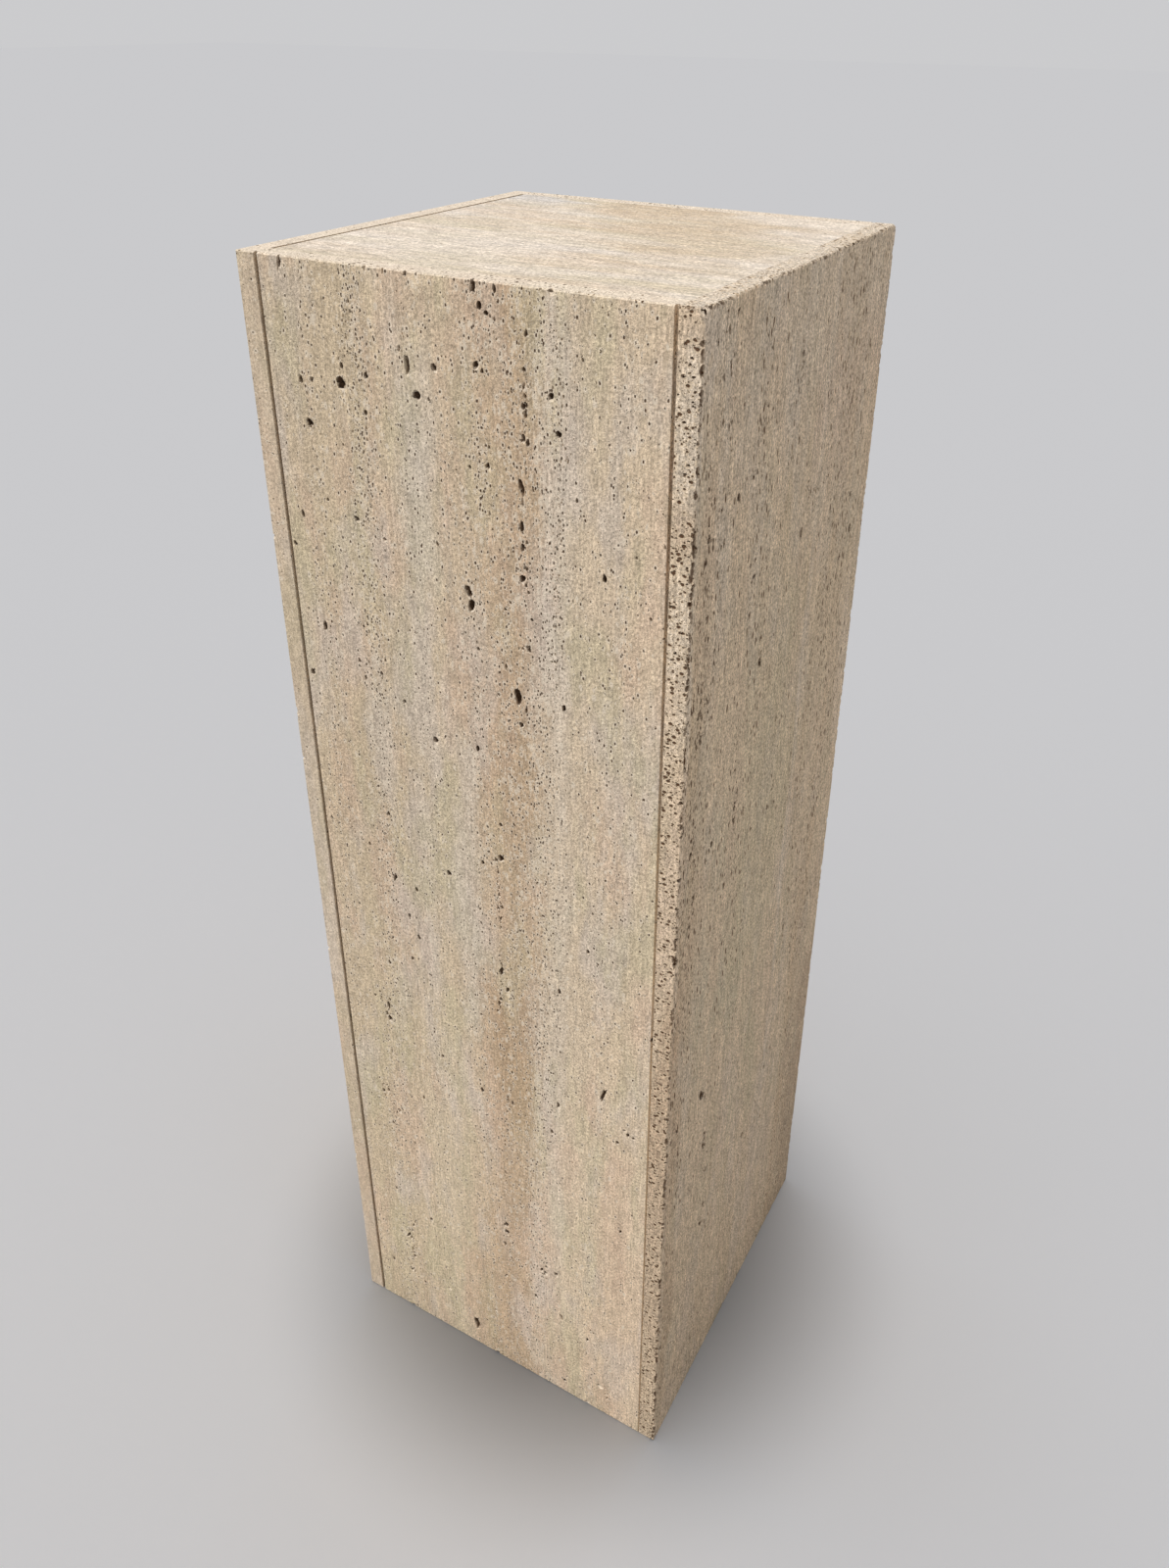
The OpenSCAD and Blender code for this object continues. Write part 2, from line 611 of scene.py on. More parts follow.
    def _seams(self) -> list[Socket]:
        """Strings pores along the rows that are given as paths.

        Returns:
            The lumps that cut them.
        """
        g = self.graph
        paths = g.get("GeometryNodeObjectInfo", {"Object": self.takes["Seams"]}, "Geometry")
        points = g.get("GeometryNodeCurveToPoints", {
            "Curve": g.get("GeometryNodeMeshToCurve", {"Mesh": paths}), "Length": self.SEAM_STEP},
            "Points", mode="LENGTH")
        beside = g.vector("SUBTRACT", (1.0, 1.0, 1.0), g.vector("ABSOLUTE", self.normal))
        stray = g.vector("ADD", self._stray(1.0), self._stray(1.0))
        offset = g.scaled(g.vector("MULTIPLY", stray, beside), g.times(g.read("spread"), 0.5))
        clumps = g.ramp(g.noise(self.place, 42.0, 3.0), 0.42, 0.60, (0.06, 1.0))
        kept = self._thinned(points, g.times(g.read("share"), clumps))
        width = self._few_large(self.NARROWEST, g.read("widest"), self.SEAM_RARITY)
        return self._placed(g.moved(kept, offset), self.bed, self.normal, width,
                            self.SEAM_LENGTH, self.SEAM_DEPTH)

    def _hollows(self) -> list[Socket]:
        """Cuts each large hollow with three lumps, and a shallow dish beside them.

        Returns:
            The lumps that cut them.
        """
        g = self.graph
        spots = g.get("GeometryNodeObjectInfo", {"Object": self.takes["Hollows"]}, "Geometry")
        points = g.get("GeometryNodeMeshToPoints", {"Mesh": spots})
        tripled = g.get("GeometryNodeDuplicateElements", {"Geometry": points, "Amount": 3},
                        "Geometry", domain="POINT")
        wide, long, along = g.read("wide"), g.read("long"), g.read("along", "FLOAT_VECTOR")
        across = g.vector("CROSS_PRODUCT", along, self.normal)
        shift = g.vector("ADD", g.scaled(along, g.times(long, self._random(-0.28, 0.28))),
                         g.scaled(across, g.times(wide, self._random(-0.18, 0.18))))
        inward = g.scaled(self.normal, g.times(wide, self._random(-0.15, 0.10)))
        share = self._random(0.8, 1.3)
        width = g.times(wide, share)
        size = g.combine(width, g.times(width, self._random(1.3, 2.4)), g.times(long, g.times(share, 0.8)))
        lower = g.scaled(g.vector("SUBTRACT", across, along), g.times(wide, 0.22))
        dish = g.combine(g.times(wide, 1.35), g.times(wide, 0.42), g.math("MULTIPLY_ADD", wide, 0.5, long))
        return [self._put(g.moved(tripled, g.vector("ADD", shift, inward)), True, self.finest, along,
                          self.normal, size),
                self._put(g.moved(points, lower), True, self.fine, along, self.normal, dish)]

    def _chips(self) -> list[Socket]:
        """Knocks small chips out of the column's outer arrises.

        Returns:
            The lumps that cut them.
        """
        g = self.graph
        outer = g.compare(g.gaps(self.place, self.half)[1], "LESS_THAN", 1.0 * MM)
        sharp = g.compare(g.get("GeometryNodeInputMeshEdgeAngle"), "GREATER_THAN", self.RIM_ANGLE)
        picked = g.get("FunctionNodeBooleanMath", {0: sharp, 1: outer}, operation="AND")
        curve = g.get("GeometryNodeMeshToCurve", {"Mesh": self.takes["Geometry"], "Selection": picked})
        made = g.node("GeometryNodeCurveToPoints", {"Curve": curve, "Length": self.CHIP_STEP}, mode="LENGTH")
        stray = self._stray(0.5)
        crowd = g.ramp(g.noise(self.place, 30.0, 4.0), 0.40, 0.62, (0.05, 1.0))
        kept = self._thinned(g.exit(made, "Points"), g.times(self.takes["Chip Share"], crowd))
        width = self._few_large(self.NARROWEST_CHIP, self.takes["Chip Width"], self.CHIP_RARITY)
        moved = g.moved(kept, g.scaled(stray, self.CHIP_STRAY))
        return self._placed(moved, g.exit(made, "Tangent"), g.vector("ADD", stray, (0.0, 0.0, 0.3)), width,
                            self.CHIP_LENGTH)

    def _carve(self, cuts: list[list[Socket]]) -> None:
        """Cuts the lumps out of the slab, eases its shading and gives it the stone.

        Args:
            cuts: the sets of lumps of each kind.
        """
        g = self.graph
        cutting = g.node("GeometryNodeMeshBoolean", {"Mesh 1": self._marked(self.takes["Geometry"], 0.0)},
                         operation="DIFFERENCE", solver="MANIFOLD")
        for kind in cuts:
            for cut in kind:
                g.feed(g.entry(cutting, "Mesh 2"), cut)
        smooth = g.get("GeometryNodeSetShadeSmooth", {"Geometry": g.exit(cutting), "Shade Smooth": True},
                       domain="FACE")
        share = g.get("GeometryNodeFieldOnDomain", {"Value": g.read("hollow")}, domain="EDGE",
                      data_type="FLOAT")
        wall = g.math("GREATER_THAN", share, 0.99)
        bent = g.math("GREATER_THAN", g.get("GeometryNodeInputMeshEdgeAngle"), self.RIM_ANGLE)
        rim = g.math("GREATER_THAN", g.math("SUBTRACT", bent, wall), 0.5)
        edged = g.get("GeometryNodeSetShadeSmooth", {
            "Geometry": smooth, "Selection": rim, "Shade Smooth": False}, domain="EDGE")
        solid = g.get("GeometryNodeRealizeInstances", {"Geometry": edged})
        dressed = g.get("GeometryNodeSetMaterial", {"Geometry": solid, "Material": self.takes["Material"]})
        g.node("NodeGroupOutput", {"Geometry": dressed})


# --------------------------------------------------------------------------
# Finishes
# --------------------------------------------------------------------------


class StoneGroups:
    """The shader node groups that the travertine finishes share, each built once.

    In each of them the stone's beds run along Z. The two patterns hold a noise
    for each output: its squeeze along the beds, its clouds to a metre, its finer
    layers and how strong they are.
    """

    BEDDING = {"Drift": (0.5, 9.0, 3.0, 0.5), "Bed": (0.07, 16.0, 4.0, 0.6),
               "Patches": (0.28, 34.0, 3.0, 0.55), "Streaks": (0.03, 120.0, 3.0, 0.6)}
    SPECKLE = {"Mottle": (0.6, 150.0, 4.0, 0.7), "Grain": (0.7, 600.0, 3.0, 0.85),
               "Hairs": (0.09, 620.0, 3.0, 0.65)}
    # The output that is three noises in one colour
    THREEFOLD = "Patches"

    def __init__(self) -> None:
        """Builds every group."""
        self.bedding = self._pattern("bedding", self.BEDDING)
        self.speckle = self._pattern("speckle", self.SPECKLE)
        self.pinholes = self._pinholes()
        self.outside = self._outside()
        self.stain = self._stain()

    @staticmethod
    def _new(name: str, takes: dict[str, str], gives: dict[str, str]) -> tuple[Graph, Any, Node]:
        """Starts a group.

        Args:
            name: its name.
            takes: the kind of each input, by name.
            gives: the kind of each output, by name.

        Returns:
            Its graph, its inputs as sockets to link from, and its output node.
        """
        tree = bpy.data.node_groups.new(name, "ShaderNodeTree")
        interface(tree, takes, gives)
        graph = Graph(tree)
        return graph, graph.node("NodeGroupInput").outputs, graph.node("NodeGroupOutput")

    def _pattern(self, name: str, noises: dict[str, tuple[float, ...]]) -> Tree:
        """Builds a pattern of noises drawn out along the beds.

        Args:
            name: the group's name.
            noises: the noise of each output, by its name.

        Returns:
            The group.
        """
        kinds = {key: "Color" if key == self.THREEFOLD else "Float" for key in noises}
        g, takes, gives = self._new(name, {"Vector": "Vector"}, kinds)
        for key, (squeeze, *layers) in noises.items():
            drawn = g.vector("MULTIPLY", takes["Vector"], (1.0, 1.0, squeeze))
            g.feed(gives.inputs[key], g.noise(drawn, *layers, "Color" if key == self.THREEFOLD else "Fac"))
        return g.tree

    def _pinholes(self) -> Tree:
        """Builds the pores too fine to carve, and the pale rims round them, which are partly painted
        highlight.

        Returns:
            The group.
        """
        g, takes, gives = self._new("pinholes", {"Vector": "Vector", "Spacing": "Float", "Cover": "Float",
                                                 "Squeeze": "Vector"}, {"Hole": "Float", "Rim": "Float"})
        frayed = g.scaled(g.noise(takes["Vector"], 900.0, 1.0, key="Color"), 0.7 * MM)
        squeezed = g.vector("MULTIPLY", g.vector("ADD", takes["Vector"], frayed), takes["Squeeze"])
        cells = g.node("ShaderNodeTexVoronoi", {
            "Vector": squeezed, "Scale": g.math("DIVIDE", 1.0, takes["Spacing"])})
        red, green, _ = g.node("ShaderNodeSeparateColor", {"Color": g.exit(cells, "Color")}).outputs
        size = g.math("MULTIPLY_ADD", g.times(green, green), 0.32, 0.16)
        away = g.exit(cells, "Distance")
        chosen = g.math("LESS_THAN", red, takes["Cover"])
        hole = g.ramp(away, g.times(size, 0.55), size, (1.0, 0.0))
        rim = g.ramp(away, size, g.times(size, 2.2), (1.0, 0.0))
        g.feed(gives.inputs["Hole"], g.times(hole, chosen))
        g.feed(gives.inputs["Rim"], g.times(g.math("SUBTRACT", rim, hole), chosen))
        return g.tree

    def _outside(self) -> Tree:
        """Builds the wear along the column's outer arrises, and the depth below its faces.

        Returns:
            The group.
        """
        g, takes, gives = self._new("outside", {"Vector": "Vector", "Half Size": "Vector", "Reach": "Float"},
                                    {"Wear": "Float", "Depth": "Float"})
        low, second, z = g.gaps(takes["Vector"], takes["Half Size"])
        ragged = g.math("MULTIPLY_ADD", g.noise(takes["Vector"], 160.0, 3.0), 2.0, 0.1)
        g.feed(gives.inputs["Wear"], g.ramp(second, 0.0, g.times(takes["Reach"], ragged), (1.0, 0.0)))
        g.feed(gives.inputs["Depth"], g.math("MINIMUM", low, z))
        return g.tree

    def _stain(self) -> Tree:
        """Builds a soft round mask at a set place, with a frayed border.

        Returns:
            The group.
        """
        g, takes, gives = self._new("stain", {"Vector": "Vector", "Fray": "Vector", "Middle": "Vector",
                                              "Reach": "Vector"}, {"Mask": "Float"})
        off = g.vector("DIVIDE", g.vector("SUBTRACT", takes["Vector"], takes["Middle"]), takes["Reach"])
        frayed = g.vector("ADD", off, g.scaled(g.vector("SUBTRACT", takes["Fray"], (0.5, 0.5, 0.5)), 2.6))
        g.feed(gives.inputs["Mask"], g.ramp(g.vector("LENGTH", frayed), 0.35, 1.15, (1.0, 0.0)))
        return g.tree


@dataclass(frozen=True)
class Travertine:
    """The honed stone of one slab.

    The tones are display colours. beds holds (place, tone) pairs: the place is
    a share of the face's width where the beds are laid, else a share of chance.
    porous holds (place, cover) pairs: how open the stone is at each place. The
    top of each slab is bleached to the pale tone.
    """

    name: str
    shift: Triple
    beds: tuple[tuple[float, Triple], ...] = (
        (0.30, (0.745, 0.672, 0.563)), (0.42, (0.760, 0.688, 0.592)), (0.50, (0.778, 0.704, 0.608)),
        (0.58, (0.752, 0.682, 0.588)), (0.70, (0.738, 0.652, 0.548)))
    porous: tuple[tuple[float, float], ...] = (
        (0.0, 0.08), (0.40, 0.10), (0.55, 0.35), (0.62, 0.75), (1.0, 0.5))
    laid: bool = False
    level: bool = False
    stains: tuple[Stain, ...] = ()
    pink: Triple = (0.785, 0.682, 0.585)
    lilac: Triple = (0.795, 0.742, 0.685)
    olive: Triple = (0.730, 0.672, 0.555)
    # Dark tone of the pores and of what lies deep: soil and painted shade
    dirt: Triple = (0.290, 0.215, 0.150)
    # Pale tone of the worn arrises; also laid on the pinhole rims and the hollows' lips, where it is partly
    # painted highlight
    edge: Triple = (0.870, 0.812, 0.728)
    pale: Triple = (0.815, 0.760, 0.690)
    # Pale tone laid in the joints as painted light, lifting their shade
    dust: Triple = (0.950, 0.880, 0.780)
    bleach: float = 0.8
    patches: float = 0.42
    streaks: float = 0.045
    mottle: float = 0.12
    grain: float = 0.44
    hairs: float = 0.10
    wear: float = 0.3
    wear_mm: float = 1.2
    squeeze: Triple = (1.0, 1.0, 0.6)
    edge_squeeze: Triple = (0.75, 0.75, 1.0)
    edge_cover: float = 1.0
    edge_relief: float = 0.7
    # Share of the pale tone on the hollows' lips: a pale rim that is partly painted highlight
    lip: float = 0.6
    # How deep below the face the dark of soil and painted shade starts
    soiled_from_mm: float = 0.2
    # Painted light and shade by height: the colour at the foot is scaled by this, above 1 as painted light,
    # below 1 as painted shade, easing to 1 at seven tenths of the height
    foot: float = 1.0
    roughness: float = 0.66
    relief: float = 1.0
    relief_mm: float = 0.9


class StonePaint:
    """The material of one slab under construction, laid from the beds to the dark of the pores, which is soil
    and painted shade.
    """

    # How far laid beds lean to the right for each metre up
    LEAN = 0.03
    # How far hairs and drift shift a laid bed, as a share of the face's width
    FRAY = 0.16
    PINHOLES_MM = (3.1, 1.7)
    RIM_SHARE, HOLE_SHARE, LID_SHARE, SOILED_SHARE = 0.75, 0.95, 0.25, 0.94
    # The joints are paled with painted light down to the first depth below the top, and fully above the
    # second
    LID_MM = (5.0, 3.0)
    SPECULAR = 0.05

    def __init__(self, look: Travertine, groups: StoneGroups, half: Vector, facing: Vector) -> None:
        """Starts the material and places the patterns that its layers read.

        Args:
            look: the finish.
            groups: the shared node groups.
            half: half the column's size.
            facing: the direction out of the slab's broad face.
        """
        self.look, self.groups, self.half = look, groups, half
        self.material = blank_material(look.name)
        g = self.graph = Graph(self.material.node_tree)
        self.place = g.get("ShaderNodeTexCoord", key="Object")
        self.x, _, self.z = g.split(self.place)
        turn = (0.0, math.pi / 2, 0.0) if look.level else (0.0, 0.0, 0.0)
        self.stone = g.get("ShaderNodeMapping", {
            "Vector": self.place, "Location": look.shift, "Rotation": turn})
        self.bedding = self._group(groups.bedding, {"Vector": self.stone})
        self.patches = g.exit(self.bedding, "Patches")
        speckle = self._group(groups.speckle, {"Vector": self.stone})
        self.mottle, self.grain, self.hairs = (g.exit(speckle, key) for key in ("Mottle", "Grain", "Hairs"))
        outside = self._group(groups.outside, {"Vector": self.place, "Half Size": half,
                                               "Reach": look.wear_mm * MM})
        self.wear, self.depth = g.exit(outside, "Wear"), g.exit(outside, "Depth")
        self.way = g.get("ShaderNodeNewGeometry", key="Normal")
        facing_share = g.math("ABSOLUTE", g.vector("DOT_PRODUCT", self.way, facing))
        self.broad = g.math("GREATER_THAN", facing_share, 0.6)
        self.across = self._across()
        self.colour = self._bed_tone()

    def paint(self) -> bpy.types.Material:
        """Lays every layer over the beds.

        Returns:
            The finished material.
        """
        self._patch()
        self._stain()
        self._shade()
        self._lay(self.graph.times(self.wear, self.look.wear), self.look.edge)
        holes = self._pierce()
        self._soil()
        self._shader(holes)
        return self.material

    def _group(self, tree: Tree, feeds: dict[str, Any]) -> Node:
        """Places a shared group in the material."""
        return self.graph.node("ShaderNodeGroup", feeds, node_tree=tree)

    def _lay(self, share: Any, tone: Triple) -> None:
        """Lays a share of a tone over the stone's colour."""
        self.colour = self.graph.blend(share, self.colour, linear(tone))

    def _swing(self, noise: Any, swing: float) -> Socket:
        """Turns a noise into a brightness that goes up to swing to each side of 1."""
        return self.graph.ramp(noise, 0.30, 0.70, (1.0 - swing, 1.0 + swing))

    def _across(self) -> Socket:
        """Finds a place's bed, as the beds are laid or as chance has it.

        Returns:
            The bed, from 0 to 1.
        """
        g = self.graph
        if not self.look.laid:
            return g.exit(self.bedding, "Bed")
        upright = g.math("MULTIPLY_ADD", self.z, -self.LEAN, self.x)
        across = g.math("MULTIPLY_ADD", upright, 0.5 / self.half.x, 0.5 + self.LEAN)
        for noise in (self.hairs, g.exit(self.bedding, "Drift")):
            across = g.math("MULTIPLY_ADD", g.math("SUBTRACT", noise, 0.5), self.FRAY, across)
        return across

    def _bed_tone(self) -> Socket:
        """Colours the beds.

        Returns:
            The colour.
        """
        ramp = self.graph.node("ShaderNodeValToRGB", {"Fac": self.across})
        elements = ramp.color_ramp.elements
        while len(elements) < len(self.look.beds):
            elements.new(0.5)
        for element, (place, tone) in zip(elements, self.look.beds):
            element.position = place
            element.color = linear(tone)
        return ramp.outputs["Color"]

    def _patch(self) -> None:
        """Lays pink, lilac and olive patches over the beds."""
        noises = self.graph.node("ShaderNodeSeparateColor", {"Color": self.patches}).outputs
        for noise, tone in zip(noises, (self.look.pink, self.look.lilac, self.look.olive)):
            self._lay(self.graph.ramp(noise, 0.47, 0.66, (0.0, self.look.patches)), tone)

    def _stain(self) -> None:
        """Lays the stains, a little thinner in the fine texture's hollows."""
        g = self.graph
        for stain in self.look.stains:
            spot = self._group(self.groups.stain, {"Vector": self.place, "Fray": self.patches,
                                                   "Middle": stain.middle, "Reach": stain.reach})
            shares = (0.75 * stain.share, stain.share)
            texture = g.ramp(g.math("ADD", self.hairs, self.mottle), 0.80, 1.15, shares)
            self._lay(g.times(g.exit(spot), texture), stain.tone)

    def _shade(self) -> None:
        """Bleaches the faces that look up, lightens and darkens the fine texture, and paints light and shade
        by height towards the foot.
        """
        g, look = self.graph, self.look
        self._lay(g.ramp(g.split(self.way)[2], 0.5, 0.9, (0.0, look.bleach)), look.pale)
        light = g.times(self._swing(self.mottle, look.mottle), self._swing(self.grain, look.grain),
                        self._swing(self.hairs, look.hairs),
                        self._swing(g.exit(self.bedding, "Streaks"), look.streaks),
                        # Painted light and shade towards the foot
                        g.ramp(self.z, 0.0, 1.4 * self.half.z, (look.foot, 1.0)))
        self.colour = g.blend(1.0, self.colour, g.combine(light, light, light), "MULTIPLY")

    def _pierce(self) -> Socket:
        """Lays pinholes of two sizes, more where the bed is open and towards the top. Their dark is soil and
        painted shade, and their pale rims are partly painted highlight.

        Returns:
            The mask of the holes.
        """
        g, look = self.graph, self.look
        curve = g.node("ShaderNodeFloatCurve", {"Value": self.across})
        points = curve.mapping.curves[0].points
        while len(points) < len(look.porous):
            points.new(0.5, 0.5)
        for point, place in zip(points, look.porous):
            point.location = place
        curve.mapping.update()
        cover = g.times(g.exit(curve), g.ramp(self.mottle, 0.36, 0.60, (0.15, 1.2)),
                        g.ramp(self.z, 0.4 * self.half.z, 1.6 * self.half.z, (0.7, 1.3)),
                        g.ramp(self.broad, 0.0, 1.0, (look.edge_cover, 1.0)))
        squeeze = g.get("ShaderNodeMix", {"Factor": self.broad, "A": look.edge_squeeze, "B": look.squeeze},
                        data_type="VECTOR")
        sizes = [self._group(self.groups.pinholes, {
            "Vector": self.stone, "Spacing": spacing * MM, "Cover": cover, "Squeeze": squeeze})
            for spacing in self.PINHOLES_MM]
        holes, rims = (g.math("MAXIMUM", *(g.exit(size, key) for size in sizes)) for key in ("Hole", "Rim"))
        # Pale rims round the pinholes: partly pale stone, partly painted highlight
        self._lay(g.times(rims, self.RIM_SHARE), look.edge)
        # The pinholes are darkened with soil and painted shade
        self._lay(g.times(holes, self.HOLE_SHARE), look.dirt)
        return holes

    def _soil(self) -> None:
        """Paints light into the joints, pales the lips of the hollows, partly as painted highlight, and
        darkens what lies deep with soil and painted shade.
        """
        g, look, high = self.graph, self.look, self.half.z
        inside = g.get("ShaderNodeAttribute", key="Fac", attribute_name="hollow")
        right = g.ramp(self.x, -0.5 * self.half.x, 0.5 * self.half.x)
        sunk = g.ramp(self.depth, 0.3 * MM, 0.9 * MM)
        lower = g.ramp(self.z, 0.8 * high, 1.8 * high, (1.0, 0.0))
        # Painted light: sunk plain faces towards the foot and the right, such as the right joint, are paled
        # to lift their shade
        self._lay(g.times(g.math("SUBTRACT", 1.0, inside), sunk, lower, right), look.dust)
        # Painted light in the joints just below the top as well
        lid = g.ramp(self.z, *(2 * high - below * MM for below in self.LID_MM), (0.0, self.LID_SHARE))
        self._lay(g.times(lid, sunk), look.dust)
        # The hollows' lips are paled: partly a pale rim, partly painted highlight
        self._lay(g.times(inside, g.ramp(self.depth, 0.1 * MM, 1.0 * MM, (look.lip, 0.0))), look.edge)
        deep = g.ramp(self.depth, look.soiled_from_mm * MM, (look.soiled_from_mm + 2.3) * MM,
                      (0.0, self.SOILED_SHARE))
        # Painted shade on deep plain faces, such as the left joint, most on the left and none on the right;
        # in the hollows the dark is soil and painted shade
        kept = g.math("MAXIMUM", inside, g.math("MULTIPLY_ADD", right, -0.3, 0.3))
        self._lay(g.times(deep, kept, g.math("SUBTRACT", 1.0, self.wear)), look.dirt)

    def _shader(self, holes: Socket) -> None:
        """Ends the material with its shader and its fine relief.

        Args:
            holes: the mask of the pinholes.
        """
        g, look = self.graph, self.look
        rough = g.math("MULTIPLY_ADD", self.mottle, 0.8, g.times(self.grain, 1.1))
        relief = g.times(g.math("SUBTRACT", rough, holes),
                         g.ramp(self.broad, 0.0, 1.0, (look.edge_relief, 1.0)))
        normal = g.get("ShaderNodeBump", {"Height": relief, "Strength": look.relief,
                                          "Distance": look.relief_mm * MM})
        matt = g.ramp(self.mottle, 0.3, 0.7, (look.roughness - 0.05, look.roughness + 0.08))
        shader = g.get("ShaderNodeBsdfPrincipled", {"Base Color": self.colour, "Roughness": matt,
                                                    "Normal": normal, "Specular IOR Level": self.SPECULAR})
        g.node("ShaderNodeOutputMaterial", {"Surface": shader})


@dataclass(frozen=True)
class FloorFinish:
    """The plain pale floor, with a painted shadow: a soft grey ring close round the foot."""

    tone: Triple = (0.992, 0.992, 0.994)
    # Painted shadow: within near of the middle the floor's colour is scaled to this share, easing back to
    # full by far
    shade: float = 0.30
    near: float = 0.10
    far: float = 0.35

    def material(self) -> bpy.types.Material:
        """Builds the floor's material.

        Returns:
            The material.
        """
        made = blank_material("floor")
        g = Graph(made.node_tree)
        away = g.get("ShaderNodeVectorMath", {"Vector": g.get("ShaderNodeTexCoord", key="Object")}, "Value",
                     operation="LENGTH")
        # Painted shadow in the floor's colour, round the foot
        bright = g.ramp(away, self.near, self.far, (self.shade, 1.0))
        colour = g.blend(1.0, linear(self.tone), g.combine(bright, bright, bright), "MULTIPLY")
        g.node("ShaderNodeOutputMaterial", {"Surface": g.get("ShaderNodeBsdfDiffuse", {"Color": colour})})
        return made


# --------------------------------------------------------------------------
# The column
# --------------------------------------------------------------------------


@dataclass
class Slab:
    """One slab of the column, carved from its plain solid.

    normal points out of its broad face, and bed is the direction of its beds.
    """

    node: str
    normal: Triple
    bed: Bed
    finish: Travertine
    field: PoreField
    seams: tuple[Seam, ...] = ()
    hollows: tuple[Hollow, ...] = ()

    def build(self, carving: CarvingTree, groups: StoneGroups, low: Vector, high: Vector) -> Object:
        """Carves and dresses the slab and ties it to the column.

        Args:
            carving: the tree that carves it.
            groups: the shader groups of its stone.
            low: the column's lowest corner.
            high: the column's highest corner.

        Returns:
            The finished piece.
        """
        self.half, self.middle = (high - low) / 2, (high + low) / 2
        stone = StonePaint(self.finish, groups, self.half, Vector(self.normal)).paint()
        plain = self._plain_solid()
        seams, hollows = self._seam_paths(), self._hollow_spots()
        self._add_carving(plain, carving, {"Material": stone, "Seams": seams, "Hollows": hollows})
        mesh = bpy.data.meshes.new_from_object(plain.evaluated_get(bpy.context.evaluated_depsgraph_get()))
        for helper in (plain, seams, hollows):
            bpy.data.objects.remove(helper)
        mesh.name = f"carved_{self.node}"
        piece = linked(mesh.name, mesh)
        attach(piece, BODY)
        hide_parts(self.node)
        return piece

    def _plain_solid(self) -> Object:
        """Copies the slab's plain solid as one closed mesh.

        Returns:
            The copy.
        """
        shape = bmesh.new()
        shape.from_mesh(bpy.data.objects[self.node].data)
        bmesh.ops.remove_doubles(shape, verts=shape.verts, dist=0.001 * MM)
        bmesh.ops.dissolve_limit(shape, angle_limit=math.radians(0.5), verts=shape.verts, edges=shape.edges)
        return meshed("plain", shape)

    def _place(self, across_mm: float, down_mm: float) -> Vector:
        """Finds a point on the column's face.

        Args:
            across_mm: how far it is from the face's left edge.
            down_mm: how far it is from the face's top or far edge.

        Returns:
            The point.
        """
        out = Vector(self.normal)
        up = Vector((0, 0, 1)) if abs(out.z) < 0.5 else Vector((0, 1, 0))
        right = up.cross(out)
        corner = self.middle.copy()
        for way in (out, -right, up):
            corner += way * abs(way.dot(self.half))
        return corner + right * across_mm * MM - up * down_mm * MM

    def _seam_paths(self) -> Object:
        """Makes the paths of the slab's seams, each point with the seam's sizes.

        Returns:
            The paths, as loose edges.
        """
        shape = bmesh.new()
        spread, share, widest = (shape.verts.layers.float.new(name) for name in ("spread", "share", "widest"))
        for seam in self.seams:
            last = None
            for across_mm, down_mm in seam.path_mm:
                point = shape.verts.new(self._place(across_mm, down_mm))
                point[spread] = seam.spread_mm * MM
                point[share] = seam.share
                point[widest] = seam.widest_mm * MM
                if last:
                    shape.edges.new((last, point))
                last = point
        return meshed("seams", shape)

    def _hollow_spots(self) -> Object:
        """Makes a point for each large hollow, with its sizes and its long way.

        Returns:
            The points.
        """
        shape = bmesh.new()
        wide, long = (shape.verts.layers.float.new(name) for name in ("wide", "long"))
        along = shape.verts.layers.float_vector.new("along")
        for hollow in self.hollows:
            point = shape.verts.new(self._place(hollow.across_mm, hollow.down_mm))
            point[wide] = hollow.wide_mm * MM
            point[long] = hollow.long_mm * MM
            lean = Matrix.Rotation(math.radians(-hollow.lean_deg), 3, Vector(self.normal))
            point[along] = lean @ Vector(self.bed.value)
        return meshed("hollows", shape)

    def _add_carving(self, plain: Object, carving: CarvingTree, made: dict[str, Any]) -> None:
        """Puts the carving on the plain solid as a modifier.

        Args:
            plain: the plain solid.
            carving: the tree.
            made: the slab's material and helpers, by the tree's names for them.
        """
        field = self.field
        values = {
            **made, "Half Size": self.half, "Face Normal": self.normal, "Bed Direction": self.bed.value,
            "Pore Share": field.share, "Widest Pore": field.widest_mm * MM, "Longest Pore": field.longest,
            "Edge Share": field.edge_share, "Widest Edge Pore": field.edge_widest_mm * MM,
            "Chip Share": field.chips, "Chip Width": field.chip_mm * MM, "Seed": field.seed,
        }
        modifier = plain.modifiers.new("carving", "NODES")
        modifier.node_group = carving.tree
        names = carving.identifiers()
        for name, value in values.items():
            modifier[names[name]] = value


